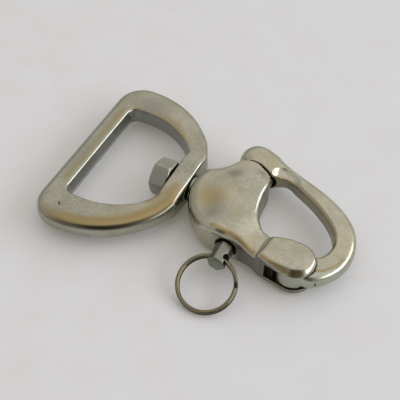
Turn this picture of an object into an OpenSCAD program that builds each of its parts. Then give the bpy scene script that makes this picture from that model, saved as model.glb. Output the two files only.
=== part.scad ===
// Swivel snap shackle, lying flat. Lengths in millimetres, +Z up.
// The load line runs along X: the swivel bail is at -X and the hinged gate at +X.
// The release plunger runs along Y and is pulled towards -Y by the split ring.
// Inside the modules X starts at the bail's seat on the swivel and Z at the mid plane.
// The whole part is then moved so that its box stands centred on the origin.

/* [Bail] */
// Outer radius of the bail's arms, which is half its width
bail_r = 32; // [30:0.5:34]
// Thickness of the bail's bar and arms
bail_t = 6.2; // [5.6:0.1:7]
// Thickness of the bail's boss around the swivel bolt
boss_t = 9.4; // [9:0.1:10.4]
// Width of the opening between the arms
bail_open_w = 41.4; // [38:0.5:43]
// Width of the flat of the bar
bar_w = 6.6; // [5:0.2:7.6]

/* [Swivel bolt] */
// Diameter of the bolt's shank
bolt_d = 5.5; // [5:0.1:5.8]
// Width of the hexagon head across its flats
head_af = 10.6; // [9:0.1:11]
// Length of the hexagon head
head_len = 6; // [4:0.5:7]

/* [Body] */
// Thickness of the body over the swivel and the plunger
body_t = 12.4; // [12:0.2:13.6]
// Depth of the dimple beside the swivel boss on the ring side
dimple_depth = 1.5; // [0:0.1:2]
// Thickness over the two hinge ears
ear_t = 10.2; // [9.8:0.1:10.8]
// Radius of the hinge ears
ear_r = 6; // [5.8:0.1:6.4]

/* [Gate] */
// Thickness of the bow of the gate
gate_t = 5.6; // [5.4:0.1:6.2]
// Thickness of the knuckle between the ears
knuckle_t = 5.6; // [4.8:0.1:5.8]
// Thickness of the hood that closes over the nose
hood_t = 8.8; // [8.6:0.1:9.6]
// Diameter of the hinge pin
pin_d = 4; // [3:0.1:4.4]

/* [Plunger] */
// Diameter of the plunger's head
plunger_d = 4.8; // [4.6:0.1:5.2]
// How far the plunger enters the gate
engage = 1.5; // [1:0.1:1.6]
// Diameter of the spring's wire
spring_wire = 0.6; // [0.4:0.05:0.7]

/* [Pull ring] */
// Width of the pull eye across its flats
eye_af = 5.2; // [4.8:0.1:6]
// Outer diameter of the split ring
ring_d = 18; // [16:0.5:22]
// Radial width of the ring's wire
ring_wire = 1.2; // [1:0.05:1.3]
// Angle by which the ring slopes down to the table
ring_tilt = 18; // [10:1:30]

/* [Hidden] */

// Fits and gaps
run_gap = 0.3;    // between cast faces that move past each other
pin_gap = 0.07;   // radial, pin in the gate's knuckle and bolt in the bail
slide_gap = 0.05; // radial, plunger in its bore
press_gap = 0.01; // radial, pin in the ears and bolt in the body
end_gap = 0.1;    // under the pull eye, which stops there when the plunger is out
big = 80;         // longer than any piece

// Overall box, from the bar's outer face to the crown of the gate and from ring to bail
mid_z = body_t / 2;
bar_x = -40.2;
crown_x = 53.85;
eye_y = -20.2;
ring_low_y = eye_y - (ring_d - ring_wire / 2) * cos(ring_tilt);
centre_x = (bar_x + crown_x) / 2;
centre_y = (bail_r + ring_low_y) / 2;

steel = [0.66, 0.64, 0.59];
dark_steel = [0.52, 0.51, 0.48];
zinc = [0.62, 0.65, 0.66];

// ---- curves ----

// Points on an arc about [x, y] from angle a to angle b, both ends included
function arc(x, y, r, a, b, n) =
    [for (i = [0 : n]) let (t = a + (b - a) * i / n) [x + r * cos(t), y + r * sin(t)]];

// Points on a straight line, without its last point
function line(p, q, n) = [for (i = [0 : n - 1]) p + (q - p) * i / n];

// One span of a smooth curve through four rows of numbers
function span(a, b, c, d, t) =
    0.5 * (2 * b + (c - a) * t + (2 * a - 5 * b + 4 * c - d) * t * t
        + (3 * b - a - 3 * c + d) * t * t * t);

// Smooth closed curve through rows, with n steps between neighbours
function closed_curve(rows, n) = let (m = len(rows))
    [for (i = [0 : m - 1], j = [0 : n - 1])
        span(rows[(i + m - 1) % m], rows[i], rows[(i + 1) % m], rows[(i + 2) % m], j / n)];

// Smooth open curve through rows, with n steps between neighbours
function open_curve(rows, n) = let (m = len(rows))
    [for (i = [0 : m - 2], j = [0 : (i == m - 2 ? n : n - 1)])
        span(rows[max(i - 1, 0)], rows[i], rows[i + 1], rows[min(i + 2, m - 1)], j / n)];

// Soft step from 0 to 1 as x goes from a to b
function soft_step(a, b, x) = let (t = max(0, min(1, (x - a) / (b - a)))) t * t * (3 - 2 * t);

// Round dip of depth 1 at the middle of a circle of radius r
function dip(x, y, cx, cy, r) = exp(-((x - cx) * (x - cx) + (y - cy) * (y - cy)) / (r * r));

// ---- sections ----

// Points round a section of width w and half thickness h. The edges at 0 are rounded by
// ri, those at w by ro, and the side at 0 swells by bulge.
function section(w, h, ri, ro, bulge) = concat(
    [for (a = [0, 45, 90]) [ri - ri * sin(a), h - ri + ri * cos(a)]],
    [[-bulge, h * 0.25], [-bulge, -h * 0.25]],
    [for (a = [90, 45, 0]) [ri - ri * sin(a), -h + ri - ri * cos(a)]],
    [for (a = [0 : 22.5 : 90]) [w - ro + ro * sin(a), -h + ro - ro * cos(a)]],
    [for (a = [90 : -22.5 : 0]) [w - ro + ro * sin(a), h - ro + ro * cos(a)]]);

// Section placed on the line from the inner point p to the outer point q
function placed(p, q, sec) = let (u = (q - p) / norm(q - p))
    [for (s = sec) [p[0] + u[0] * s[0], p[1] + u[1] * s[0], s[1]]];

// Solid through a row of sections with equal numbers of points
module loft(secs, closed) {
    n = len(secs);
    m = len(secs[0]);
    last = closed ? n - 1 : n - 2;
    sides = [for (i = [0 : last], j = [0 : m - 1])
        let (a = i * m + j, b = i * m + (j + 1) % m)
        let (c = ((i + 1) % n) * m + (j + 1) % m, d = ((i + 1) % n) * m + j)
        each [[a, b, c], [a, c, d]]];
    first_cap = closed ? [] : [for (j = [1 : m - 2]) [0, j + 1, j]];
    last_cap = closed ? [] : [for (j = [1 : m - 2]) (n - 1) * m * [1, 1, 1] + [0, j, j + 1]];
    polyhedron(points = [for (s = secs) each s], faces = concat(sides, first_cap, last_cap));
}

// Cast pad inside an outline of rows [x, y, edge radius], with the same form above and
// below. rise(x, y) gives its half thickness and c is a point well inside it.
module pad(rows, c, rise) {
    n = len(rows);
    turns = [0, 30, 60, 90];
    inner = [0.8, 0.62, 0.42, 0.2];
    function at(row, d) = let (p = [row[0], row[1]]) p + (c - p) / norm(c - p) * d;
    function rim(row, a) = let (p = at(row, row[2] * (1 - cos(a))))
        [p[0], p[1], rise(p[0], p[1]) - row[2] * (1 - sin(a))];
    function core(row, s) = let (q = at(row, row[2]), p = c + (q - c) * s)
        [p[0], p[1], rise(p[0], p[1])];
    top = concat([for (a = turns, r = rows) rim(r, a)], [for (s = inner, r = rows) core(r, s)]);
    k = len(turns) + len(inner);
    low = [for (p = top) [p[0], p[1], -p[2]]];
    hub = [c[0], c[1], rise(c[0], c[1])];
    base = n * k;
    up = [for (i = [0 : k - 2], j = [0 : n - 1]) let (a = i * n + j, b = i * n + (j + 1) % n)
        each [[a, a + n, b], [b, a + n, b + n]]];
    down = [for (f = up) [f[0] + base, f[2] + base, f[1] + base]];
    wall = [for (j = [0 : n - 1]) let (b = (j + 1) % n) each [[j, b, base + j], [b, base + b, base + j]]];
    lid = [for (j = [0 : n - 1]) [(k - 1) * n + j, 2 * base, (k - 1) * n + (j + 1) % n]];
    floor_fan = [for (f = lid) [f[0] + base, f[2] + base, 2 * base + 1]];
    polyhedron(points = concat(top, low, [hub, [hub[0], hub[1], -hub[2]]]),
        faces = concat(up, down, wall, lid, floor_fan));
}

// Round wire of width w and height t swept through points, with 8 corners
module wire(path, w, t) {
    n = len(path);
    loft([for (i = [0 : n - 1])
        let (d = path[min(i + 1, n - 1)] - path[max(i - 1, 0)], out = cross([0, 0, 1], d))
        [for (a = [337.5 : -45 : 0]) path[i] + out / norm(out) * w / 2 * cos(a) + [0, 0, t / 2 * sin(a)]]],
        false);
}

// ---- places ----

module place() {
    translate([-centre_x, -centre_y, mid_z]) children();
}

module along_x(x) {
    translate([x, 0, 0]) rotate([0, 90, 0]) children();
}

module along_y(x, y) {
    translate([x, y, 0]) rotate([-90, 0, 0]) children();
}

// ---- bail ----

apex_x = 0;
apex_cut = 1.8; // taken off the arms' circle by the flat of the boss
apex_in_x = -6.4;
arm_x = apex_x + apex_cut - bail_r;
bar_corner_r = 9;
eye_corner_r = 3;
inner_r = 25.5;
inner_x = -27;
bar_bulge = 1.2;

// Half of the outer outline, from the middle of the bar to the middle of the boss
function bail_outer() = let (
    cx = bar_x + bar_corner_r,
    cy = sqrt(pow(bail_r - bar_corner_r, 2) - pow(cx - arm_x, 2)),
    a = atan2(cy, cx - arm_x),
    b = acos((apex_x - arm_x) / bail_r))
    concat(line([bar_x, 0], [bar_x, cy], 4),
        arc(cx, cy, bar_corner_r, 180, a, 6),
        [for (i = [1 : 16]) arc(arm_x, 0, bail_r, a, b, 16)[i]],
        [for (i = [1 : 3]) [apex_x, bail_r * sin(b) * (1 - i / 3)]]);

// Half of the inner outline, with the same number of points
function bail_inner() = let (
    in_x = bar_x + bar_w,
    half = bail_open_w / 2,
    cx = in_x + eye_corner_r,
    cy = half - eye_corner_r,
    arm_y = half - inner_r,
    b = acos((apex_in_x - inner_x) / inner_r),
    end_y = arm_y + inner_r * sin(b))
    concat(line([in_x, 0], [in_x, cy], 4),
        arc(cx, cy, eye_corner_r, 180, 90, 6),
        [for (i = [1 : 16]) arc(inner_x, arm_y, inner_r, 90, b, 16)[i]],
        [for (i = [1 : 3]) [apex_in_x, end_y * (1 - i / 3)]]);

// Half thickness of the bail at distance y from the load line and station x
function bail_rise(x, y) =
    bail_t / 2 + (boss_t - bail_t) / 2 * (1 - soft_step(5, 17, abs(y))) * soft_step(-22, -10, x);

// The inner side of the bar swells, and its arms are upright
function bail_bulge(x) = bar_bulge * (1 - soft_step(-33, -29, x));

// Sections of one half of the bail, in order from the bar to the boss
function bail_half() = let (out = bail_outer(), in = bail_inner())
    [for (i = [0 : len(out) - 1]) let (h = bail_rise(out[i][0], out[i][1]))
        placed(in[i], out[i], section(norm(out[i] - in[i]), h, 0.6, min(2.6, h - 0.4),
            bail_bulge(in[i][0])))];

function mirrored(sec) = [for (p = sec) [p[0], -p[1], p[2]]];

module bail() {
    half = bail_half();
    n = len(half);
    color(steel)
    place()
    difference() {
        loft(concat([for (i = [n - 1 : -1 : 1]) half[i]], [for (i = [0 : n - 2]) mirrored(half[i])]), true);
        along_x(apex_in_x - 4) cylinder(h = 12, r = bolt_d / 2 + pin_gap, $fn = 64);
    }
}

// ---- swivel bolt ----

bolt_end_x = 12;
head_x = apex_in_x - run_gap - head_len;
head_turn = 10;

module swivel_bolt() {
    chamfer = 0.7;
    color(steel)
    place()
    union() {
        intersection() {
            along_x(head_x) rotate([0, 0, head_turn]) cylinder(h = head_len, d = head_af / cos(30), $fn = 6);
            along_x(head_x) rotate_extrude($fn = 96)
                polygon([[0, 0], [head_af / 2, 0], [head_af / 2 + 2 * chamfer, chamfer],
                    [head_af / 2 + 2 * chamfer, head_len - chamfer], [head_af / 2, head_len],
                    [0, head_len]]);
        }
        along_x(head_x + 1) cylinder(h = bolt_end_x - head_x - 1, d = bolt_d, $fn = 64);
    }
}

// ---- body ----

plunger_x = 19.2;
hinge_x = 39.6;
hinge_y = -13.6;
slot_x = 32.4;
body_mid = [13, -3];
ear_mid = [36, -13.2];
neck_drop = 1.9; // the neck falls this far towards the ears, on each side

// Outline of the body at its mid plane, from the swivel end round the ring side
body_rows = [
    [0.8, 0, 3], [1.5, -5.2, 3.2], [4.3, -10.2, 3.2], [9.1, -14.4, 2.8], [13.8, -15.8, 2.2],
    [18.5, -15.7, 2], [23, -16, 1.8], [27, -17.2, 1.6], [30.4, -17.8, 1.2], [31, -13.6, 1.2],
    [30.6, -9.6, 1], [27, -7.4, 1.2], [24, -3, 1.4], [22.5, 3.4, 1.4], [22.1, 9.2, 1.1],
    [20, 13, 0.8], [15, 15, 0.8], [10.7, 14, 0.9], [8.2, 11.2, 1.6], [5.4, 8.2, 2.4], [2, 5.2, 2.8]];

// Half thickness of the body: dimples on both sides of the swivel, lower nose, neck and
// ring-side shoulder
function body_rise(x, y) =
    body_t / 2 - dimple_depth * dip(x, y, 9, -7, 4.6) - 0.7 * dip(x, y, 9.5, 8.5, 3.6)
    - 0.9 * dip(x, y, 6.5, -13, 5.5) - 1.1 * soft_step(5, 15, y) - neck_drop * soft_step(20.5, 29.5, x)
    - 0.5 * soft_step(14, 3, x);

// Outline of the ears, which stand proud of the neck, from the ring side round the hinge
function ear_rows() = concat(
    [[29.4, -17.6, 1.2], [32.6, -18.5, 1.4]],
    [for (p = arc(hinge_x, hinge_y, ear_r, -104, -30, 6)) [p[0], p[1], 1.5]],
    [for (p = arc(hinge_x, hinge_y, ear_r, -15, 90, 7)) [p[0], p[1], 0.8]],
    [[36, hinge_y + ear_r - 0.2, 0.6], [33, -8.6, 0.6], [30.6, -9.2, 1.2]]);

module body() {
    seat_r = 4.2;
    tail_end_y = -9;
    mouth_y = eye_base_y + end_gap;
    color(steel)
    place()
    difference() {
        union() {
            pad(closed_curve(body_rows, 4), body_mid, function (x, y) body_rise(x, y));
            pad(ear_rows(), ear_mid, function (x, y) ear_t / 2);
            along_x(apex_x + run_gap) cylinder(h = 5, r = seat_r, $fn = 64);
        }
        // bore for the swivel bolt
        along_x(-1) cylinder(h = bolt_end_x + 1.4, r = bolt_d / 2 + press_gap, $fn = 64);
        // stepped bore for the plunger and its spring, open at the nose
        along_y(plunger_x, tail_end_y) cylinder(h = 40, r = plunger_d / 2 + slide_gap, $fn = 64);
        along_y(plunger_x, -18) cylinder(h = 12, r = tail_d / 2 + slide_gap, $fn = 48);
        along_y(plunger_x, mouth_y - 6) cylinder(h = 6, r = eye_af / 2 + 1.1, $fn = 48);
        // slot between the ears
        translate([slot_x, hinge_y - 15, -knuckle_t / 2 - slot_gap])
            cube([30, 30, knuckle_t + 2 * slot_gap]);
        // blind bore for the hinge pin
        translate([hinge_x, hinge_y, -ear_t])
            cylinder(h = ear_t + pin_top, r = pin_d / 2 + press_gap, $fn = 64);
    }
}

// ---- gate ----

slot_gap = 0.1;
shoulder_r = ear_r + run_gap + 0.05;
knuckle_r = 5.4;
socket_r = 3.25;
seat_gap = 0.35;

// Rows [outer x, outer y, inner x, inner y, half thickness, outer and inner edge radius]
// of the gate, from the hinge along the bow to the tip of the hood
gate_rows = let (g = gate_t / 2, h = hood_t / 2) [
    [42.4, -17.8, 39.6, -9.4, g, 1.6, 0.7], [46.4, -17, 42.4, -9.2, g, 2.2, 0.7],
    [50, -13.8, 44.8, -8.6, g, 2.4, 0.7], [52.8, -9.2, 46.4, -6.6, g, 2.4, 0.7],
    [crown_x - 0.05, -4.2, 47.1, -3.8, g, 2.4, 0.7], [53.2, 1, 46.8, -1, g, 2.4, 0.7],
    [50.9, 6.1, 45.2, 2.2, g, 2.4, 0.7], [46.4, 10.7, 42, 5.6, g, 2.4, 0.7],
    [40.2, 14.5, 37, 9.3, g, 2.4, 0.7], [34, 17, 31.6, 12.2, g, 2.4, 0.8],
    [28, 19, 26.4, 14.6, g + 0.3, 2.5, 1.1], [23.6, 20.7, 22.6, 13.8, h - 0.9, 2.8, 2],
    [19.2, 22.7, 19.4, 12.4, h - 0.1, 3.1, 1.4], [14.8, 24.1, 16.4, 13.4, h, 3.2, 0.6],
    [11, 23.2, 13.4, 14, h - 0.1, 3, 0.6], [8.7, 20.2, 11.2, 14.4, h - 0.9, 2.4, 0.6],
    [8.6, 17, 9.4, 15, h - 2.2, 1.6, 0.6]];

// Body outline grown by the gap at which the hood sits on the nose
function grown(rows, c, gap) =
    [for (r = rows) let (p = [r[0], r[1]]) p + (p - c) / norm(p - c) * gap];

module gate() {
    color(steel)
    place()
    difference() {
        union() {
            loft([for (r = open_curve(gate_rows, 3)) let (q = [r[0], r[1]], p = [r[2], r[3]])
                placed(p, q, section(norm(q - p), r[4], r[6], min(r[5], r[4] - 0.3), 0.15))], false);
            translate([hinge_x, hinge_y, -knuckle_t / 2]) cylinder(h = knuckle_t, r = knuckle_r, $fn = 96);
        }
        // seat on the nose of the body
        translate([0, 0, -big / 2]) linear_extrude(big)
            polygon(grown(closed_curve(body_rows, 4), body_mid, seat_gap + 0.1));
        // socket for the plunger
        along_y(plunger_x, 8) cylinder(h = 11, r = socket_r, $fn = 64);
        // shoulders round the ears
        for (z = [knuckle_t / 2, -knuckle_t / 2 - 10])
            translate([hinge_x, hinge_y, z]) cylinder(h = 10, r = shoulder_r, $fn = 96);
        // running bore on the hinge pin
        translate([hinge_x, hinge_y, -big / 2]) cylinder(h = big, r = pin_d / 2 + pin_gap, $fn = 64);
    }
}

// ---- hinge pin ----

pin_top = 4.1;
pin_low = -5;

module hinge_pin() {
    color(dark_steel)
    place()
    translate([hinge_x, hinge_y, pin_low]) rotate_extrude($fn = 64)
        polygon([[0, 0], [pin_d / 2 - 0.3, 0], [pin_d / 2, 0.3], [pin_d / 2, pin_top - pin_low - 0.5],
            [pin_d / 2 - 0.4, pin_top - pin_low - 0.1], [0, pin_top - pin_low - 0.1]]);
}

// ---- plunger, spring and pull eye ----

tail_d = 2.8;
shoulder_y = 3;
nose_y = 13.7;
tip_y = nose_y + seat_gap + engage;
tail_y = -18;
eye_base_y = -14.7;
eye_len = 8.4;
eye_hole_d = 3.5;

module plunger() {
    r = plunger_d / 2;
    color(steel)
    place()
    along_y(plunger_x, 0) rotate_extrude($fn = 64)
        polygon(concat([[0, tail_y], [tail_d / 2, tail_y], [tail_d / 2, shoulder_y], [r, shoulder_y]],
            arc(0, tip_y - r, r, 0, 90, 12)));
}

spring_turns = 8;
spring_r = 1.9;
spring_from = -8.9;

module plunger_spring() {
    reach = shoulder_y - spring_from - spring_wire;
    steps = 14 * spring_turns;
    color(dark_steel)
    place()
    along_y(plunger_x, spring_from + spring_wire / 2)
        wire([for (i = [0 : steps]) let (a = 360 * spring_turns * i / steps)
            [spring_r * cos(a), spring_r * sin(a), reach * i / steps]], spring_wire, spring_wire);
}

module pull_eye() {
    tip = eye_af / 2 - 0.9;
    color(zinc)
    place()
    difference() {
        intersection() {
            along_y(plunger_x, eye_base_y - eye_len) rotate([0, 0, 30])
                cylinder(h = eye_len, d = eye_af / cos(30), $fn = 6);
            along_y(plunger_x, eye_base_y - eye_len) rotate_extrude($fn = 64)
                polygon([[0, 0], [tip, 0], [tip + 0.9, 0.7], [tip + 1.6, 1.8],
                    [tip + 1.6, eye_len - 0.4], [tip + 1, eye_len], [0, eye_len]]);
        }
        along_x(plunger_x - 10) translate([0, eye_y, 0]) cylinder(h = 20, d = eye_hole_d, $fn = 48);
        along_y(plunger_x, tail_y - 0.1) cylinder(h = 10, r = tail_d / 2 + press_gap, $fn = 48);
    }
}

// ---- split ring ----

ring_coil_t = 0.95;
ring_start = 54;

module split_ring() {
    r = (ring_d - ring_wire) / 2;
    steps = 96;
    cross_over = 38;
    turn = 720 - cross_over - 2;
    // the wire crosses from the lower turn to the upper one between its two ends
    function layer(a) =
        (soft_step((turn - cross_over) / 2, (turn + cross_over) / 2, a) - 0.5) * (ring_coil_t + 0.05);
    color(dark_steel)
    place()
    translate([plunger_x, eye_y, 0]) rotate([ring_tilt, 0, 0]) translate([0, -r, 0])
        wire([for (i = [0 : steps]) let (a = turn * i / steps, b = ring_start + a)
            [r * cos(b), r * sin(b), layer(a)]], ring_wire, ring_coil_t);
}

bail();
swivel_bolt();
body();
gate();
hinge_pin();
plunger();
plunger_spring();
pull_eye();
split_ring();
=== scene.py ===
import math

import bpy
import numpy as np
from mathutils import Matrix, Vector


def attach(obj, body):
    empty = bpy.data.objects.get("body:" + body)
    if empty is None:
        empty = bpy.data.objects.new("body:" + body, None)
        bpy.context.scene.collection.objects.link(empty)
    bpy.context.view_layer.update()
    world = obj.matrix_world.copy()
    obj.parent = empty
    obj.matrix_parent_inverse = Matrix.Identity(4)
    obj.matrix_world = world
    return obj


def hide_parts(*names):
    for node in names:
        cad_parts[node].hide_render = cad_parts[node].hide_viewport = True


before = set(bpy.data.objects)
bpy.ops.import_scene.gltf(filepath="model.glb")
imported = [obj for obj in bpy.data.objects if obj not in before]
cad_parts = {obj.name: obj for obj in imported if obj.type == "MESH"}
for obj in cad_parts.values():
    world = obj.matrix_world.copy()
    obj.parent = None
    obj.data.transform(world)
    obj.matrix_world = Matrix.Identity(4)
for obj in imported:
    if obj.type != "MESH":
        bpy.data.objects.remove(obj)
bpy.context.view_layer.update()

MM = 0.001
CENTRE = np.array([6.825, -2.374, -6.2])   # local frame = row frame in mm + CENTRE

# ---- camera ----

AZIMUTH, ELEVATION = math.radians(27), math.radians(50)
TARGET = Vector((-2.425, -0.726, 6.0)) * MM
DISTANCE = 223 * MM
LENS, SENSOR = 65.3, 36   # focal length and sensor width in mm


def make_camera():
    look = Vector((-math.sin(AZIMUTH) * math.cos(ELEVATION),
                   math.cos(AZIMUTH) * math.cos(ELEVATION), -math.sin(ELEVATION)))
    data = bpy.data.cameras.new("camera")
    data.sensor_width = SENSOR
    data.lens = LENS
    data.clip_start = 0.005
    data.clip_end = 10
    camera = bpy.data.objects.new("camera", data)
    camera.location = TARGET - look * DISTANCE
    camera.rotation_euler = look.to_track_quat("-Z", "Y").to_euler()
    bpy.context.scene.collection.objects.link(camera)
    bpy.context.scene.camera = camera


make_camera()

# ---- curves and plan fields ----


def arc(cx, cy, r, a, b, n):
    """Points on an arc from angle a to angle b in degrees, in n steps."""
    t = np.radians(np.linspace(a, b, n + 1))
    return np.stack([cx + r * np.cos(t), cy + r * np.sin(t)], 1)


def smooth_curve(rows, n, closed):
    """Catmull-Rom curve through rows of numbers, n steps between neighbours."""
    rows = np.asarray(rows, float)
    m = len(rows)
    pick = (lambda i: rows[i % m]) if closed else (lambda i: rows[min(max(i, 0), m - 1)])
    t = np.linspace(0, 1, n, endpoint=False)[:, None]
    out = []
    for i in range(m if closed else m - 1):
        a, b, c, d = (pick(i + k) for k in (-1, 0, 1, 2))
        out.append(0.5 * (2 * b + (c - a) * t + (2 * a - 5 * b + 4 * c - d) * t ** 2
                          + (3 * b - a - 3 * c + d) * t ** 3))
    return np.concatenate(out + ([] if closed else [rows[-1:]]))


def to_outline(x, y, line, closed=True, values=None):
    """Distance to a line of points, negative inside it if closed, and values at the nearest place."""
    p = np.stack([x.ravel(), y.ravel()], 1)
    a = line
    b = np.roll(line, -1, 0)
    if not closed:
        a, b = a[:-1], b[:-1]
    best = np.full(len(p), 1e9)
    found = np.zeros(len(p))
    inside = np.zeros(len(p), bool)
    for i in range(len(a)):
        e = b[i] - a[i]
        w = p - a[i]
        t = np.clip(w @ e / max(e @ e, 1e-12), 0, 1)
        d = np.hypot(w[:, 0] - t * e[0], w[:, 1] - t * e[1])
        near = d < best
        best = np.where(near, d, best)
        found = np.where(near, i + t, found)
        if closed:
            cross = (a[i, 1] > p[:, 1]) != (b[i, 1] > p[:, 1])
            if abs(e[1]) > 1e-12:
                inside ^= cross & (p[:, 0] < e[0] * (p[:, 1] - a[i, 1]) / e[1] + a[i, 0])
    best = np.where(inside, -best, best).reshape(x.shape)
    if values is None:
        return best
    k = np.arange(len(values) + 1)
    ring = np.concatenate([values, values[:1]])
    return best, np.interp(found, k, ring).reshape(x.shape)


def mirrored(half):
    """Closed outline from the half on the +y side, given from one point on the x axis to the other."""
    return np.concatenate([half, (half * [1, -1])[::-1][1:-1]])


def on_plan(tables_at, low, high):
    """Plan fields worked out once on a fine grid, to be looked up by interpolation."""
    size = PLAN_GRID
    xs = np.arange(low[0], high[0] + size, size)
    ys = np.arange(low[1], high[1] + size, size)
    tables = tables_at(*np.meshgrid(xs, ys, indexing="ij"))

    def look_up(x, y, values):
        u = np.clip((x - xs[0]) / size, 0, len(xs) - 1.001)
        v = np.clip((y - ys[0]) / size, 0, len(ys) - 1.001)
        i, j = u.astype(int), v.astype(int)
        u, v = u - i, v - j
        return ((1 - u) * (1 - v) * values[i, j] + u * (1 - v) * values[i + 1, j]
                + (1 - u) * v * values[i, j + 1] + u * v * values[i + 1, j + 1])
    return lambda x, y: [look_up(x, y, t) for t in tables]


# ---- fields: negative inside a solid, lengths in millimetres ----


def both(a, b, r):
    """Intersection of two fields with an edge of radius r between them."""
    u, v = a + r, b + r
    return np.minimum(np.maximum(u, v), 0) + np.hypot(np.maximum(u, 0), np.maximum(v, 0)) - r


def joined(a, b, r):
    """Union of two fields with a fillet of radius r between them."""
    return -both(-a, -b, r)


def cut(a, b, r):
    """Field a without field b, with an edge of radius r."""
    return both(a, -b, r)


def bevelled(a, b, w, r):
    """Intersection of two fields with a bevel of width w between them and edges of radius r."""
    return both(both(a, b, r), (a + b + w) / math.sqrt(2), r)


def capsule(p, a, b, r):
    """Distance to a rod of radius r with round ends from a to b."""
    a, e = np.array(a, float), np.array(b, float) - np.array(a, float)
    w = [p[k] - a[k] for k in range(3)]
    t = np.clip(sum(w[k] * e[k] for k in range(3)) / (e @ e), 0, 1)
    return np.sqrt(sum((w[k] - t * e[k]) ** 2 for k in range(3))) - r


def between(w, a, b):
    """Distance to the layer from a to b."""
    return np.abs(w - (a + b) / 2) - (b - a) / 2


def rod(u, v, w, r, a, b, edge):
    """Cylinder of radius r along w from a to b."""
    return both(np.hypot(u, v) - r, between(w, a, b), edge)


def hexagon(a, b, across, turn):
    """Distance to a hexagonal prism, with its first flat's normal at the angle turn."""
    t = [math.radians(turn + 60 * k) for k in range(3)]
    return np.max([np.abs(a * math.cos(k) + b * math.sin(k)) for k in t], 0) - across / 2


def step(a, b, x):
    """Soft step from 0 at a to 1 at b, where a may be the larger."""
    t = np.clip((x - a) / (b - a), 0, 1)
    return t * t * (3 - 2 * t)


def dip(x, y, cx, cy, r):
    """1 at the point cx, cy, falling off round it over about r."""
    return np.exp(-((x - cx) ** 2 + (y - cy) ** 2) / r ** 2)


# ---- meshes ----


def pulled_on(field, points, size):
    """Points moved onto a field's surface by Newton steps, and the normals there."""
    h = size * 0.25
    for _ in range(3):
        x, y, z = points.T
        value = field(x, y, z)
        slope = np.stack([field(x + h, y, z) - field(x - h, y, z),
                          field(x, y + h, z) - field(x, y - h, z),
                          field(x, y, z + h) - field(x, y, z - h)], 1) / (2 * h)
        move = value[:, None] * slope / np.maximum((slope ** 2).sum(1), 0.2)[:, None]
        points = points - np.clip(move, -size / 2, size / 2)
    return points, slope / np.maximum(np.linalg.norm(slope, axis=1), 1e-6)[:, None]


def surface(field, low, high, size):
    """Surface net of a field on a grid of that size: points, quads and normals."""
    axes = [np.arange(a, b + size, size) for a, b in zip(low, high)]
    f = field(*np.meshgrid(*axes, indexing="ij"))
    inside = f < 0
    cells = np.array(f.shape) - 1
    total = np.zeros(tuple(cells) + (3,))
    count = np.zeros(tuple(cells))
    quads = []
    for axis in range(3):
        # grid edges along this axis that cross the surface, and where they cross it
        a = np.moveaxis(f, axis, 0)
        s = np.moveaxis(inside, axis, 0)
        change = s[:-1] != s[1:]
        where = np.argwhere(change)
        fa, fb = a[:-1][change], a[1:][change]
        order = [axis] + [k for k in range(3) if k != axis]
        cell = np.zeros((len(where), 3), int)
        for k, o in enumerate(order):
            cell[:, o] = where[:, k]
        place = cell.astype(float)
        place[:, axis] += fa / (fa - fb)
        # each crossing counts for the four cells round its edge, and a quad joins them
        u, v = (axis + 1) % 3, (axis + 2) % 3
        ok = (cell[:, u] > 0) & (cell[:, v] > 0) & (cell[:, u] < cells[u]) & (cell[:, v] < cells[v])
        cell, place, flip = cell[ok], place[ok], ~s[:-1][change][ok]
        corners = []
        for du, dv in ((0, 0), (1, 0), (1, 1), (0, 1)):
            c = cell.copy()
            c[:, u] -= du
            c[:, v] -= dv
            np.add.at(total, tuple(c.T), place)
            np.add.at(count, tuple(c.T), 1)
            corners.append(c)
        corners = np.stack(corners, 1)
        corners[flip] = corners[flip][:, ::-1]
        quads.append(corners)
    used = count > 0
    index = np.full(tuple(cells), -1)
    index[used] = np.arange(used.sum())
    points = total[used] / count[used][:, None] * size + np.array([a[0] for a in axes])
    quads = np.concatenate(quads)
    points, normals = pulled_on(field, points, size)
    return points, index[quads[..., 0], quads[..., 1], quads[..., 2]], normals


def add_piece(name, points, faces, body, node, material, paint):
    """Object from points in the local frame, with its values of paint, that rides on a body."""
    mesh = bpy.data.meshes.new(name)
    mesh.from_pydata(((points - CENTRE) * MM).tolist(), [], faces)
    mesh.polygons.foreach_set("use_smooth", [True] * len(faces))
    mesh.materials.append(material)
    for key, values in paint.items():
        mesh.attributes.new(key, "FLOAT", "POINT").data.foreach_set("value", values)
    mesh.update()
    piece = bpy.data.objects.new(name, mesh)
    bpy.context.scene.collection.objects.link(piece)
    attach(piece, body)
    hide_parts(node)


# ---- sizes, most of them the CAD part's own ----

# Bail: arms' circle, flat of the boss, bar and its corners, thicknesses and the opening
BAIL_R, APEX_CUT, BAR_X, BAR_W, BAR_CORNER = 32, 1.8, -40.2, 6.6, 9
BAIL_T, BOSS_T, OPENING_W, APEX_IN_X = 6.2, 9.4, 41.4, -6.4
INNER_X, INNER_R, OPENING_CORNER, BAR_BULGE = -27, 25.5, 3, 1.2

# Swivel bolt and its hexagon head, and the boss of the body that faces the bail
BOLT_R, BOLT_END_X, HEAD_X, HEAD_LEN, HEAD_AF, HEAD_TURN = 2.75, 12, -12.7, 6, 10.6, 10
SWIVEL_BOSS_R, SWIVEL_BOSS_LEN = 4.2, 5

# Body, with its ears and the slot for the gate's knuckle
BODY_T, NECK_DROP = 12.4, 1.9
HINGE_X, HINGE_Y, EAR_R, EAR_T, SLOT_X, KNUCKLE_T, KNUCKLE_R = 39.6, -13.6, 6, 10.2, 32.4, 5.6, 5.4
PIN_R, PIN_LOW, PIN_TOP = 2, -5, 4

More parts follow.
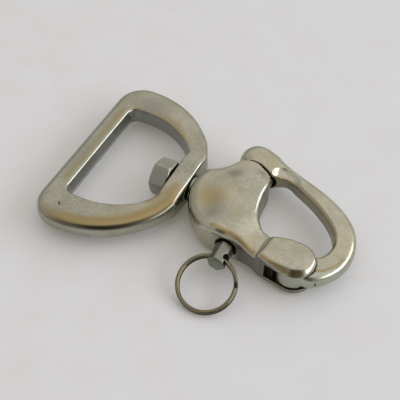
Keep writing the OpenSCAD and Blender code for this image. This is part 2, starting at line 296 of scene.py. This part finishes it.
# Plunger, the step in its bore, the bore's narrow part and its socket in the hood
PLUNGER_X, PLUNGER_R, TAIL_R, SHOULDER_Y, TIP_Y, TAIL_Y = 19.2, 2.4, 1.4, 3, 15.55, -18
BORE_STEP_Y, TAIL_BORE = -9, (-18, -6)
SOCKET_R, SOCKET = 3.25, (8, 19)

# Pull eye and the recess round it
EYE_Y, EYE_BASE_Y, EYE_LEN, EYE_AF, EYE_HOLE_R, EYE_TURN = -20.2, -14.7, 8.4, 5.2, 1.75, 12
EYE_RECESS = 0.75

# Split ring: below 1, RING_SQUARE makes the wire's section squarer than an ellipse
RING_R, RING_WIRE, RING_COIL_T, RING_TILT, RING_START, RING_CROSS = 8.4, 1.2, 0.95, 18, 54, 38
RING_SQUARE = 0.95

# Gaps: swivel faces, round the ears, gate on its seat, knuckle in its slot, turning pin,
# sliding plunger and pressed pin
RUN_GAP, EAR_GAP, SEAT_GAP, SLOT_GAP = 0.3, 0.35, 0.45, 0.1
PIN_GAP, SLIDE_GAP, PRESS_GAP = 0.07, 0.05, 0.01

# Grid of the plan fields
PLAN_GRID = 0.2

# Rows [x, y, edge radius] of the body's outline, from the swivel end round the ring side
BODY_ROWS = [
    [0.8, 0, 3], [1.5, -5.2, 3.2], [4.3, -10.2, 3.2], [9.1, -14.4, 2.8], [13.8, -15.8, 2.2],
    [18.5, -15.7, 2], [23, -16, 1.8], [27, -17.2, 1.6], [30.4, -17.8, 1.2], [31, -13.6, 1.2],
    [30.6, -9.6, 1], [27, -7.4, 1.2], [24, -3, 1.4], [22.5, 3.4, 1.4], [22.1, 9.2, 1.1],
    [20, 13, 0.8], [15, 15, 0.8], [10.7, 14, 0.9], [8.2, 11.2, 1.6], [5.4, 8.2, 2.4], [2, 5.2, 2.8]]

# Rows [outer x, outer y, inner x, inner y, half thickness, outer and inner edge radius] of the
# gate, from the hinge along the bow to the tip of the hood
GATE_ROWS = [
    [42.4, -17.8, 39.6, -9.4, 2.8, 1.6, 0.7], [46.4, -17, 42.4, -9.2, 2.8, 2.2, 0.7],
    [50, -13.8, 44.8, -8.6, 2.8, 2.4, 0.7], [52.8, -9.2, 46.4, -6.6, 2.8, 2.4, 0.7],
    [53.8, -4.2, 47.1, -3.8, 2.8, 2.4, 0.7], [53.2, 1, 46.8, -1, 2.8, 2.4, 0.7],
    [50.9, 6.1, 45.2, 2.2, 2.8, 2.4, 0.7], [46.4, 10.7, 42, 5.6, 2.8, 2.4, 0.7],
    [40.2, 14.5, 37, 9.3, 2.8, 2.4, 0.7], [34, 17, 31.6, 12.2, 2.8, 2.4, 0.8],
    [28, 19, 26.4, 14.6, 3.1, 2.5, 1.1], [23.6, 20.7, 22.6, 13.8, 3.5, 2.8, 2],
    [19.2, 22.7, 19.4, 12.4, 4.3, 3.1, 1.4], [14.8, 24.1, 16.4, 13.4, 4.4, 3.2, 0.6],
    [11, 23.2, 13.4, 14, 4.3, 3, 0.6], [8.7, 20.2, 11.2, 14.4, 3.5, 2.4, 0.6],
    [8.6, 17, 9.4, 15, 2.2, 1.6, 0.6]]

# Scoops above and below the root of the hood: two ends of a rod and its radius
SCOOP = (24.8, 15, 7.0), (27, 14, 6.8), 5

# Rows [x, y, bevel width] of the ears' outline before and after its arc round the hinge, the
# arc's angles and steps, and angles on it with the bevel's width there
EARS_BEFORE = [[29.4, -17.6, 0.8], [32.6, -18.5, 0.8], [35.6, -19, 1.4]]
EARS_AFTER = [[36, HINGE_Y + EAR_R - 0.2, 0.5], [33, -8.6, 0.5], [30.6, -9.2, 0.9]]
EAR_FROM, EAR_TO, EAR_STEPS = -96, 90, 48
EAR_BEVEL = [-60, 10], [2.1, 0.8]

# ---- shapes: each gives a field and the corners of a box round the solid ----


def bail_outlines():
    """The bail's outline and that of its opening."""
    arm_x = APEX_CUT - BAIL_R
    cx = BAR_X + BAR_CORNER
    cy = math.sqrt((BAIL_R - BAR_CORNER) ** 2 - (cx - arm_x) ** 2)
    a = math.degrees(math.atan2(cy, cx - arm_x))
    b = math.degrees(math.acos(-arm_x / BAIL_R))
    outer = np.concatenate([[[BAR_X, 0]], arc(cx, cy, BAR_CORNER, 180, a, 24),
                            arc(arm_x, 0, BAIL_R, a, b, 60)[1:], [[0, 0]]])
    in_x = BAR_X + BAR_W
    half = OPENING_W / 2
    c = math.degrees(math.acos((APEX_IN_X - INNER_X) / INNER_R))
    corner = arc(in_x + OPENING_CORNER, half - OPENING_CORNER, OPENING_CORNER, 180, 90, 12)
    inner = np.concatenate([[[in_x, 0]], corner,
                            arc(INNER_X, half - INNER_R, INNER_R, 90, c, 40)[1:], [[APEX_IN_X, 0]]])
    return mirrored(outer), mirrored(inner)


def bail_field():
    outer, inner = bail_outlines()
    plan = on_plan(lambda x, y: [to_outline(x, y, outer), to_outline(x, y, inner)],
                   (BAR_X - 2, -BAIL_R - 2), (3, BAIL_R + 2))

    def field(x, y, z):
        out, hole = plan(x, y)
        h = BAIL_T / 2 + (BOSS_T - BAIL_T) / 2 * (1 - step(5, 17, np.abs(y))) * step(-22, -10, x)
        swell = BAR_BULGE * (1 - step(-33, -29, x)) * np.clip(1 - np.abs(z) / h, 0, 1)
        f = both(out, np.abs(z) - h, 2.6 - 1.4 * step(-8, -2, x) * step(-9, 0, y))
        f = np.maximum(f, both(-hole - swell, np.abs(z) - h, 0.6))
        return cut(f, np.maximum(np.hypot(y, z) - BOLT_R - PIN_GAP, APEX_IN_X - 4 - x), 0.3)
    return field, (BAR_X - 1, -BAIL_R - 1, -BOSS_T / 2 - 1), (1.5, BAIL_R + 1, BOSS_T / 2 + 1)


def ear_outline():
    """Rows [x, y, bevel width] of the ears' closed outline."""
    bevel = np.interp(np.linspace(EAR_FROM, EAR_TO, EAR_STEPS + 1), *EAR_BEVEL)
    round_hinge = arc(HINGE_X, HINGE_Y, EAR_R, EAR_FROM, EAR_TO, EAR_STEPS)
    return np.concatenate([EARS_BEFORE, np.column_stack([round_hinge, bevel]), EARS_AFTER])


def body_field():
    rows = smooth_curve(BODY_ROWS, 12, True)
    ears = ear_outline()
    plan = on_plan(lambda x, y: [*to_outline(x, y, rows[:, :2], values=rows[:, 2]),
                                 *to_outline(x, y, ears[:, :2], values=ears[:, 2])],
                   (-2, -22), (50, 19))

    def field(x, y, z):
        edge, r, ear_edge, bevel = plan(x, y)
        # half thickness, less two dimples, a dip at the swivel end's near corner, the nose,
        # the neck, the swivel end and a soft shoulder along the edges beside the neck
        shoulder = (1 - step(0.5, 4.5, -edge)) * step(15, 19, x) * step(31, 27, x)
        rise = (BODY_T / 2 - 0.9 * dip(x, y, 9.4, -7, 4.8) - 0.8 * dip(x, y, 9.5, 8.5, 3.8)
                - 0.9 * dip(x, y, 6.5, -13, 5.5) - 1.1 * step(5, 15, y)
                - NECK_DROP * step(20.5, 29.5, x) - 0.5 * step(14, 3, x) - 0.8 * shoulder)
        f = both(edge, np.abs(z) - rise, r)
        bevel = np.where(z > 0, bevel, np.minimum(bevel, 0.9))
        f = joined(f, bevelled(ear_edge, np.abs(z) - EAR_T / 2, bevel, 0.4), 0.25)
        f = joined(f, rod(y, z, x, SWIVEL_BOSS_R, RUN_GAP, RUN_GAP + SWIVEL_BOSS_LEN, 0.3), 0.4)
        # bores for the bolt and the plunger, recess for the pull eye, slot, bore for the pin
        f = cut(f, rod(y, z, x, BOLT_R + PRESS_GAP, -1, BOLT_END_X + 0.4, 0.1), 0.15)
        bore = np.hypot(x - PLUNGER_X, z)
        f = cut(f, np.maximum(bore - PLUNGER_R - SLIDE_GAP, BORE_STEP_Y - y), 0.25)
        f = cut(f, np.maximum(bore - TAIL_R - SLIDE_GAP, between(y, *TAIL_BORE)), 0.1)
        f = cut(f, np.maximum(bore - EYE_AF / 2 - EYE_RECESS, y - EYE_BASE_Y - 0.1), 0.3)
        f = cut(f, np.maximum(SLOT_X - x, np.abs(z) - KNUCKLE_T / 2 - SLOT_GAP), 0.2)
        pin = np.maximum(np.hypot(x - HINGE_X, y - HINGE_Y) - PIN_R - PRESS_GAP, z - PIN_TOP - 0.1)
        return cut(f, pin, 0.15)
    return field, (-0.5, -20.5, -6.9), (46.3, 16, 6.9)


def gate_field():
    rows = smooth_curve(GATE_ROWS, 10, False)
    outer, inner = rows[:, :2], rows[:, 2:4]
    outline = np.concatenate([outer, inner[::-1]])
    middle = (outer + inner) / 2
    body = smooth_curve(BODY_ROWS, 12, True)[:, :2]

    def tables(x, y):
        out = to_outline(x, y, outer, closed=False)
        ins = to_outline(x, y, inner, closed=False)
        share = step(0.3, 0.7, ins / (ins + out + 1e-9))
        h, outer_r, inner_r = (to_outline(x, y, middle, closed=False, values=rows[:, k])[1]
                               for k in (4, 5, 6))
        bevel = 0.9 * (1 - share) * step(21, 27, x)
        return [to_outline(x, y, outline), h, inner_r + (outer_r - inner_r) * share,
                to_outline(x, y, body), bevel]
    plan = on_plan(tables, (5, -22), (57, 28))

    def field(x, y, z):
        edge, h, r, nose, bevel = plan(x, y)
        f = both(edge, np.abs(z) - h, np.where(bevel > 0.3, np.minimum(r, 0.3), r))
        f = both(f, (edge + np.abs(z) - h + bevel) / math.sqrt(2), 0.15)
        f = cut(f, capsule((x, y, np.abs(z)), *SCOOP), 0.3)
        around = np.hypot(x - HINGE_X, y - HINGE_Y)
        f = joined(f, both(around - KNUCKLE_R, np.abs(z) - KNUCKLE_T / 2, 0.2), 0.3)
        # seat on the body, socket for the plunger, shoulders round the ears, bore for the pin
        f = cut(f, nose - SEAT_GAP, 0.7)
        f = cut(f, np.maximum(np.hypot(x - PLUNGER_X, z) - SOCKET_R, between(y, *SOCKET)), 0.25)
        f = cut(f, np.maximum(around - EAR_R - EAR_GAP, KNUCKLE_T / 2 - np.abs(z)), 0.15)
        return cut(f, around - PIN_R - PIN_GAP, 0.2)
    return field, (7, -20, -5.4), (55, 26, 5.4)


def bolt_field():
    def field(x, y, z):
        r = np.hypot(y, z)
        flats = hexagon(-z, y, HEAD_AF, HEAD_TURN + 30)
        lower, upper = x - HEAD_X, HEAD_X + HEAD_LEN - x
        cone = np.maximum((r - HEAD_AF / 2 - 2 * lower), (r - HEAD_AF / 2 - 2 * upper)) / math.sqrt(5)
        head = both(both(flats, cone, 0.6), np.maximum(-lower, -upper), 0.5)
        return joined(head, rod(y, z, x, BOLT_R, HEAD_X + 1, BOLT_END_X, 0.2), 0.2)
    return field, (HEAD_X - 0.6, -6.8, -6.8), (BOLT_END_X + 0.5, 6.8, 6.8)


def eye_field():
    c, s = math.cos(math.radians(EYE_TURN)), math.sin(math.radians(EYE_TURN))
    end_y = EYE_BASE_Y - EYE_LEN
    tip = EYE_AF / 2 - 0.9

    def field(x, y, z):
        u, v = (x - PLUNGER_X) * c + z * s, z * c - (x - PLUNGER_X) * s
        r = np.hypot(u, v)
        end = y - end_y
        # the end falls off in two slopes, and the base towards the body
        flat = hexagon(u, -v, 0, 0)
        slopes = np.maximum((flat - tip - end * 0.9 / 0.7) / 1.63,
                            (flat - tip - 0.46 - end * 0.636) / 1.185)
        base = (r - tip - 1 - (EYE_LEN - end) * 1.5) / 1.8
        prism = both(hexagon(u, -v, EYE_AF, 0), r - EYE_AF / 2 - 0.3, 0.15)
        f = both(prism, np.maximum(slopes, base), 0.2)
        f = both(f, np.maximum(-end, end - EYE_LEN), 0.25)
        f = cut(f, np.hypot(y - EYE_Y, v) - EYE_HOLE_R, 0.35)
        return cut(f, np.maximum(r - TAIL_R - PRESS_GAP, TAIL_Y - 0.1 - y), 0.1)
    return field, (PLUNGER_X - 3.5, end_y - 0.5, -3.5), (PLUNGER_X + 3.5, EYE_BASE_Y + 0.5, 3.5)


def plunger_field():
    def field(x, y, z):
        r = np.hypot(x - PLUNGER_X, z)
        dome = np.sqrt(r ** 2 + np.maximum(y - TIP_Y + PLUNGER_R, 0) ** 2) - PLUNGER_R
        head = both(dome, SHOULDER_Y - y, 0.15)
        tail = rod(x - PLUNGER_X, z, y, TAIL_R, TAIL_Y, SHOULDER_Y + 1, 0.15)
        return np.minimum(head, tail)
    return field, (PLUNGER_X - 3, TAIL_Y - 0.5, -3), (PLUNGER_X + 3, TIP_Y + 0.5, 3)


def pin_field():
    def field(x, y, z):
        return rod(x - HINGE_X, y - HINGE_Y, z, PIN_R, PIN_LOW, PIN_TOP, 0.35)
    low = (HINGE_X - 2.5, HINGE_Y - 2.5, PIN_LOW - 0.5)
    return field, low, (HINGE_X + 2.5, HINGE_Y + 2.5, PIN_TOP + 0.5)


def squarer(v):
    """Cosines or sines of a round section pushed towards a squarer one."""
    return np.sign(v) * np.abs(v) ** RING_SQUARE


def ring_mesh():
    """Two turns of flattened wire that cross from the lower layer to the upper one between the ends.
    Painted shade lies where the two turns meet and along the wire's inner and outer sides."""
    steps, sides = 280, 20
    turn = 720 - RING_CROSS - 2
    a = np.linspace(0, turn, steps + 1)
    b = np.radians(RING_START + a)[:, None]
    crossed = step((turn - RING_CROSS) / 2, (turn + RING_CROSS) / 2, a)[:, None]
    layer = (crossed - 0.5) * (RING_COIL_T + 0.05)
    t = np.arange(sides) * 2 * math.pi / sides
    across = squarer(np.cos(t)) * RING_WIRE / 2
    high = squarer(np.sin(t)) * RING_COIL_T / 2
    r = RING_R + across[None]
    x, y, z = r * np.cos(b), r * np.sin(b) - RING_R, layer + high[None]
    c, s = math.cos(math.radians(RING_TILT)), math.sin(math.radians(RING_TILT))
    points = np.stack([x + PLUNGER_X, EYE_Y + y * c - z * s, y * s + z * c], -1).reshape(-1, 3)

    i, j = np.meshgrid(np.arange(steps), np.arange(sides), indexing="ij")
    k = (j + 1) % sides
    quads = np.stack([i * sides + j, (i + 1) * sides + j, (i + 1) * sides + k, i * sides + k], -1)
    faces = quads.reshape(-1, 4).tolist()

    # painted shade in the groove where the two turns meet and along the wire's inner and outer sides
    to_other_turn = high[None] * np.sign(layer) + RING_COIL_T / 2
    groove = np.minimum(np.abs(layer) * 2, 1) * np.exp(-(to_other_turn / 0.3) ** 2)
    shade_and_wear = np.maximum(groove, 0.7 * step(0.43, 0.6, np.abs(across))[None]).ravel()
    # a fan of triangles closes each end
    for first, order in ((0, 1), (steps * sides, -1)):
        end = first + np.arange(sides)[::order]
        points = np.concatenate([points, points[end].mean(0)[None]])
        shade_and_wear = np.append(shade_and_wear, 0)
        faces += [[len(points) - 1, end[m], end[(m + 1) % sides]] for m in range(sides)]
    return points, faces, shade_and_wear


# ---- finish ----

# Rows (strength, half width, line in plan) of the gold stains
BAIL_GOLD = (
    (0.7, 3.2, [[-31, 20.5], [-24, 21.6], [-16, 19.4], [-10, 14]]),
    (0.7, 2.8, [[-8, -13], [-4, -8], [-3, -5]]),
    (0.55, 2.6, [[-35.6, -16], [-35.6, 18]]))
BODY_GOLD = (
    (0.9, 1.3, [[14, -14.2], [18.5, -14.3], [23, -14.7], [28, -16.4]]),
    (0.9, 1.3, [[31, -17.2], [36, -18.2], [40, -18.6], [43, -17.4]]))
GATE_GOLD = ((0.9, 0.9, [[44, -14.9], [48, -12.6], [50.6, -9.6], [51.6, -6.4]]),)

# Places on the gate's smoothed rows where the bow's inner edge is stained too
BOW_PLACES = slice(56, 114, 4)

# How far from a neighbour the painted shade begins
SHADE_REACH = 0.7


class Shader:
    """Short way to build a node tree."""

    def __init__(self, name):
        self.material = bpy.data.materials.new(name)
        self.material.use_nodes = True
        self.tree = self.material.node_tree
        self.main = self.tree.nodes["Principled BSDF"]
        self.place = self.add("ShaderNodeTexCoord").outputs["Object"]

    def add(self, kind, inputs=(), **settings):
        node = self.tree.nodes.new(kind)
        for key, value in settings.items():
            setattr(node, key, value)
        for key, value in dict(inputs).items():
            self.put(node.inputs[key], value)
        return node

    def put(self, socket, value):
        if isinstance(value, bpy.types.NodeSocket):
            self.tree.links.new(value, socket)
        else:
            socket.default_value = value

    def noise(self, scale, detail=4, rough=0.55):
        return self.add("ShaderNodeTexNoise", {"Vector": self.place, "Scale": scale, "Detail": detail,
                                               "Roughness": rough}).outputs["Fac"]

    def ramp(self, value, low, high):
        return self.add("ShaderNodeMapRange", {"Value": value, "From Min": low, "From Max": high},
                        interpolation_type="SMOOTHSTEP").outputs[0]

    def blend(self, share, a, b):
        node = self.add("ShaderNodeMix", data_type="RGBA")
        for socket, value in zip((node.inputs[0], node.inputs[6], node.inputs[7]), (share, a, b)):
            self.put(socket, value)
        return node.outputs[2]

    def math(self, operation, a, b):
        node = self.add("ShaderNodeMath", operation=operation)
        self.put(node.inputs[0], a)
        self.put(node.inputs[1], b)
        return node.outputs[0]


def colour(r, g, b):
    return (r, g, b, 1)


# Scales of the noises on the steel, per metre
WARM_SCALE, CLOUD_SCALE, WAVE_SCALE, FINE_SCALE, PIT_SCALE, GRAIN_SCALE = 75, 105, 300, 1000, 1300, 1500

# Tints of the polished colour, and how much of the raw colour is left in pits and in the painted shade
# and wear marks
MOTTLED, WARM, COOL = (0.68, 0.69, 0.64), (0.86, 0.79, 0.62), (0.72, 0.8, 0.83)
IN_PITS, IN_SHADE_AND_WEAR = (0.4,) * 3, (0.22,) * 3


def tinted(base, tint):
    return colour(*(c * t for c, t in zip(base, tint)))


def steel(name, polished, raw, gold, rough):
    """Worn steel: polished and mottled, darker where it is left as cast, stained gold in places, and
    darkened where shade is painted.
    Attributes say where (raw steel with some painted shade; gold; cool tint; painted shade with dents and
    nicks), and noise breaks their edges up."""
    s = Shader(name)
    clouds = s.noise(CLOUD_SCALE, 6, 0.62)
    fine = s.noise(FINE_SCALE, 3, 0.6)

    def share(key, low, high, swing=0.5):
        value = s.add("ShaderNodeAttribute", attribute_name=key).outputs["Fac"]
        noise = s.math("MULTIPLY", s.math("SUBTRACT", clouds, 0.5), swing)
        return s.ramp(s.math("ADD", value, noise), low, high)

    mottling = s.math("ADD", s.math("MULTIPLY", clouds, 0.7), s.math("MULTIPLY", fine, 0.3))
    base = s.blend(s.ramp(mottling, 0.36, 0.64), tinted(polished, MOTTLED), polished)
    warmth = s.math("MULTIPLY", s.ramp(s.noise(WARM_SCALE, 3), 0.42, 0.66), 0.42)
    base = s.blend(warmth, base, tinted(polished, WARM))
    base = s.blend(s.math("MULTIPLY", share("cool", 0.2, 0.8), 0.6), base, tinted(polished, COOL))
    base = s.blend(s.math("MULTIPLY", share("gold", 0.0, 1.0, 0.9), 0.9), base, gold)
    # the raw colour where the steel is left as cast, and as painted shade on some walls and facets
    base = s.blend(share("raw", 0.2, 0.8), base, raw)
    pits = s.math("MULTIPLY", s.ramp(s.noise(PIT_SCALE, 2), 0.68, 0.8), 0.4)
    base = s.blend(pits, base, tinted(raw, IN_PITS))
    # painted shade where other solids lie close and on marked places, with a few real dents and nicks
    base = s.blend(share("shade_and_wear", 0.15, 0.85, 0.3), base, tinted(raw, IN_SHADE_AND_WEAR))
    s.put(s.main.inputs["Base Color"], base)
    s.main.inputs["Metallic"].default_value = 1

    # rough is about the polished steel's roughness, and raw places are duller
    gloss = s.add("ShaderNodeMapRange", {"Value": s.math("ADD", clouds, s.math("MULTIPLY", fine, 0.4)),
                                         "From Min": 0.45, "From Max": 0.95,
                                         "To Min": rough - 0.05, "To Max": rough + 0.13}).outputs[0]
    dulling = s.math("MULTIPLY", share("raw", 0.2, 0.8), 0.16)
    s.put(s.main.inputs["Roughness"], s.math("ADD", gloss, dulling))
    height = s.math("ADD", s.noise(GRAIN_SCALE, 3), s.math("MULTIPLY", s.noise(WAVE_SCALE, 4), 1.5))
    bump = s.add("ShaderNodeBump", {"Height": height, "Strength": 0.05, "Distance": 0.0001})
    s.put(s.main.inputs["Normal"], bump.outputs[0])
    return s.material


# Colours are linear: polished, raw (also the colour of some painted shade), gold stain, and then the
# roughness
GOLD = colour(0.335, 0.262, 0.125)
cast = steel("cast_steel", colour(0.545, 0.54, 0.463), colour(0.31, 0.298, 0.26), GOLD, 0.18)
bail_metal = steel("bail_steel", colour(0.475, 0.473, 0.404), colour(0.3, 0.303, 0.28), GOLD, 0.14)
turned = steel("turned_steel", colour(0.54, 0.54, 0.473), colour(0.36, 0.36, 0.323), GOLD, 0.3)
pale = steel("pale_steel", colour(0.29, 0.309, 0.29), colour(0.2, 0.216, 0.204), GOLD, 0.32)
wire = steel("spring_wire", colour(0.25, 0.226, 0.16), colour(0.12, 0.108, 0.085), GOLD, 0.0)


def along(x, y, line, width):
    """1 on a line of points in plan, falling to 0 at the distance width."""
    return 1 - step(0, width, to_outline(x, y, np.array(line, float), closed=False))


def stains(x, y, rows):
    """Strength of the strongest stain at each point."""
    return np.max([strength * along(x, y, line, width) for strength, width, line in rows], 0)


def near_others(points, normals, fields, reach):
    """1 where a solid lies close in front of the surface, 0 where it is clear out to reach."""
    x, y, z = (points + normals * reach).T
    clear = np.min([f(x, y, z) for f in fields], 0)
    return 1 - np.clip(clear / reach, 0, 1)


def paint_bail(x, y, z, normals):
    """Gold along the arms and the bar, painted shade along the near arm's outer edge, a dent, and raw
    steel round the opening.
    """
    outer, inner = bail_outlines()
    hole = np.abs(to_outline(x, y, inner))
    edge = -to_outline(x, y, outer)
    side = 1 - step(0.35, 0.7, np.abs(normals[:, 2]))
    top = step(0.4, 0.8, normals[:, 2])
    near_arm = step(2, -14, y) * step(-40, -26, x)
    gold = np.maximum(1.35 * near_arm * dip(edge, 0, 2.1, 0, 2.2), stains(x, y, BAIL_GOLD)) * top
    cool = np.maximum(0.9 * step(-37, -38.8, x), 0.5 * step(-30, -36, x) * step(-20, -14, y))
    # painted shade: a dark band along the near arm's outer edge
    edge_shade = 0.62 * near_arm * dip(edge, 0, 0.75, 0, 0.7) * step(-0.2, 0.5, normals[:, 2])
    dent = along(x, y, [[-31.9, -25.4], [-31.1, -26.2]], 0.5)
    dull = 0.6 * dip(x, y, -27, 23, 7.5) + 0.42 * dip(x, y, -31, -27.5, 6) + 0.25 * dip(x, y, -10, 21, 6)
    raw = np.maximum(0.8 * side * (1 - step(0.8, 1.6, hole)), dull)
    return {"raw": raw, "gold": gold, "cool": cool, "mark": np.maximum(edge_shade, dent)}


def paint_body(x, y, z, normals):
    """Gold in the dimple and on the ring side, dull patches, raw sides by the bow, and painted shade on
    the near side walls, in the slot and along the step at the ear's edge.
    """
    top = step(0.2, 0.6, np.abs(normals[:, 2]))
    gold = np.maximum(0.85 * dip(x, y, 8.1, -4.6, 5.6), stains(x, y, BODY_GOLD))
    raw = 0.56 * dip(x, y, 12.0, -9.6, 4.6) + 0.56 * dip(x, y, 11, 7.0, 3.8) + 0.4 * dip(x, y, 27, -12, 3)
    bow_side = step(0.3, 0.7, normals[:, 0]) * step(19, 21, x) * step(34, 31, x) * (1 - top)
    # painted shade inside the slot, then along the step at the ear's left edge on top
    slot = 0.5 * step(32, 32.6, x) * (1 - step(2.95, 3.1, np.abs(z)))
    slot = np.maximum(slot, 0.6 * along(x, y, [[30.2, -9.6], [29.6, -13], [29.2, -17.2]], 0.55) * top)
    cool = 0.35 * dip(x, y, 12.6, -9.4, 2.6)
    # painted shade on the near side walls by the ear, through the raw colour and again as a mark
    near_side_shade = step(-14, -15.5, y) * step(21, 24, x) * (1 - top)
    raw = np.maximum(raw * top, np.maximum(bow_side, near_side_shade))
    return {"raw": raw, "gold": gold * top, "cool": cool, "mark": np.maximum(slot, 0.42 * near_side_shade)}


def paint_gate(x, y, z, normals):
    """Gold along parts of both edges, raw steel on the bow's inner side, and a nick outside."""
    rows = smooth_curve(GATE_ROWS, 10, False)
    inner = to_outline(x, y, rows[:, 2:4], closed=False)
    side = 1 - step(0.4, 0.75, np.abs(normals[:, 2]))
    gold = along(x, y, rows[BOW_PLACES, 2:4], 1.5) * step(-6, 2, y)
    gold = 0.85 * np.maximum(gold, stains(x, y, GATE_GOLD))
    raw = 0.6 * side * (1 - step(1, 1.8, inner)) * step(20, 24, x)
    nick = 1.2 * dip(3 * x, z, 141.6, 0.3, 0.8) * step(-15, -16, y)
    return {"raw": raw, "gold": gold, "cool": 0.6 * step(-2, -12, y), "mark": nick}


def paint_plain(x, y, z, normals):
    return {key: 0 * x for key in ("raw", "gold", "cool", "mark")}


def paint_bolt(x, y, z, normals):
    """Painted shade on the head's facets that face -y, given as raw steel."""
    # painted shade on the facets that face -y
    raw = 0.75 * step(-0.2, -0.6, normals[:, 1]) * step(-0.6, -0.2, normals[:, 0])
    return {**paint_plain(x, y, z, normals), "raw": raw}


# ---- pieces ----

# Rows (piece, shape, grid of its mesh, body, material, slot, paint)
FIELD_PIECES = (
    ("bail_surface", bail_field, 0.3, "bail", bail_metal, "cast_steel", paint_bail),
    ("body_surface", body_field, 0.22, "body", cast, "cast_steel", paint_body),
    ("gate_surface", gate_field, 0.22, "gate", cast, "cast_steel", paint_gate),
    ("swivel_bolt_surface", bolt_field, 0.2, "body", turned, "turned_steel", paint_bolt),
    ("pull_eye_surface", eye_field, 0.12, "plunger", pale, "pale_steel", paint_plain),
    ("plunger_surface", plunger_field, 0.2, "plunger", turned, "turned_steel", paint_plain),
    ("hinge_pin_surface", pin_field, 0.15, "body", turned, "turned_steel", paint_plain))

made = {name: make() for name, make, *_ in FIELD_PIECES}
fields = [field for field, _, _ in made.values()]
for name, make, size, body, material, slot, paint in FIELD_PIECES:
    points, faces, normals = surface(*made[name], size)
    values = paint(*points.T, normals)
    # painted shade where another solid lies close in front, joined with the marks: painted shade and a
    # dent or nick
    values["shade_and_wear"] = np.maximum(near_others(points, normals, fields, SHADE_REACH), values.pop("mark"))
    add_piece(name, points, faces.tolist(), body, name.removesuffix("_surface"), material, values)

points, faces, shade_and_wear = ring_mesh()
add_piece("split_ring_surface", points, faces, "split_ring", "split_ring", wire,
          {"shade_and_wear": shade_and_wear})

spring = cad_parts["plunger_spring"]
spring.data.materials.clear()
spring.data.materials.append(wire)

# ---- floor and light ----

# Floor: half its side in metres, its two tones and the faint glow that fills its shadows
FLOOR_HALF, FLOOR_DARK, FLOOR_LIGHT = 1.5, colour(0.668, 0.683, 0.73), colour(0.69, 0.71, 0.768)
FLOOR_GLOW, GLOW_STRENGTH = colour(1, 0.89, 0.69), 0.09

# Window: azimuth and elevation in degrees, distance and sides in metres, and power
WINDOW_AT, WINDOW_DISTANCE, WINDOW_SIZE, WINDOW_WATTS = (73, 28), 1.2, (1.6, 0.42), 6.35
WINDOW_COLOUR = (0.83, 0.915, 1.0)

# Room: its colour, and rows whose strengths add up. A row has the azimuth and elevation of a
# direction, two cosines of the angle to it and the strengths at both. The first row brightens
# the window side, the second darkens the room behind the camera, the third dims it low down.
ROOM_COLOUR = colour(1.0, 0.948, 0.878)
ROOM_ROWS = (
    (50, 48, 0.15, 0.95, 0.6, 0.97),
    (153, 41, 0.8, 0.97, 0.0, -0.5),
    (0, 90, 0.0, 0.5, -0.24, 0.0))


def make_floor():
    s = Shader("floor")
    tone = s.ramp(s.noise(60, 5, 0.6), 0.3, 0.7)
    s.put(s.main.inputs["Base Color"], s.blend(tone, FLOOR_DARK, FLOOR_LIGHT))
    s.main.inputs["Emission Color"].default_value = FLOOR_GLOW
    s.main.inputs["Emission Strength"].default_value = GLOW_STRENGTH
    s.main.inputs["Roughness"].default_value = 0.95
    s.main.inputs["Specular IOR Level"].default_value = 0.1
    bump = s.add("ShaderNodeBump", {"Height": s.noise(700, 3), "Strength": 0.15, "Distance": 0.0002})
    s.put(s.main.inputs["Normal"], bump.outputs[0])
    mesh = bpy.data.meshes.new("floor")
    corners = [(i * FLOOR_HALF, j * FLOOR_HALF, 0) for i, j in ((-1, -1), (1, -1), (1, 1), (-1, 1))]
    mesh.from_pydata(corners, [], [(0, 1, 2, 3)])
    mesh.materials.append(s.material)
    floor = bpy.data.objects.new("floor", mesh)
    floor.location.z = -0.05 * MM
    bpy.context.scene.collection.objects.link(floor)


def heading(azimuth, elevation):
    """Direction from its azimuth, clockwise from +y, and its elevation, in degrees."""
    a, e = math.radians(azimuth), math.radians(elevation)
    return Vector((math.sin(a) * math.cos(e), math.cos(a) * math.cos(e), math.sin(e)))


def make_window():
    """Wide soft daylight, low on the right."""
    data = bpy.data.lights.new("window", "AREA")
    data.shape = "RECTANGLE"
    data.size, data.size_y = WINDOW_SIZE
    data.energy = WINDOW_WATTS
    data.color = WINDOW_COLOUR
    lamp = bpy.data.objects.new("window", data)
    out = heading(*WINDOW_AT)
    lamp.location = out * WINDOW_DISTANCE
    lamp.rotation_euler = (-out).to_track_quat("-Z", "Y").to_euler()
    bpy.context.scene.collection.objects.link(lamp)


def make_world():
    """A warm dim room, brighter towards the window and dark behind the camera."""
    world = bpy.data.worlds.new("studio")
    bpy.context.scene.world = world
    world.use_nodes = True
    tree = world.node_tree
    back = tree.nodes["Background"]
    where = tree.nodes.new("ShaderNodeTexCoord").outputs["Generated"]
    total = None
    for azimuth, elevation, low, high, first, last in ROOM_ROWS:
        dot = tree.nodes.new("ShaderNodeVectorMath")
        dot.operation = "DOT_PRODUCT"
        dot.inputs[1].default_value = heading(azimuth, elevation)
        tree.links.new(where, dot.inputs[0])
        lobe = tree.nodes.new("ShaderNodeMapRange")
        lobe.interpolation_type = "SMOOTHSTEP"
        for key, value in (("From Min", low), ("From Max", high), ("To Min", first), ("To Max", last)):
            lobe.inputs[key].default_value = value
        tree.links.new(dot.outputs["Value"], lobe.inputs["Value"])
        if total is None:
            total = lobe.outputs[0]
        else:
            add = tree.nodes.new("ShaderNodeMath")
            tree.links.new(total, add.inputs[0])
            tree.links.new(lobe.outputs[0], add.inputs[1])
            total = add.outputs[0]
    tree.links.new(total, back.inputs["Strength"])
    back.inputs["Color"].default_value = ROOM_COLOUR


make_floor()
make_world()
make_window()
bpy.context.scene.view_settings.view_transform = "Standard"
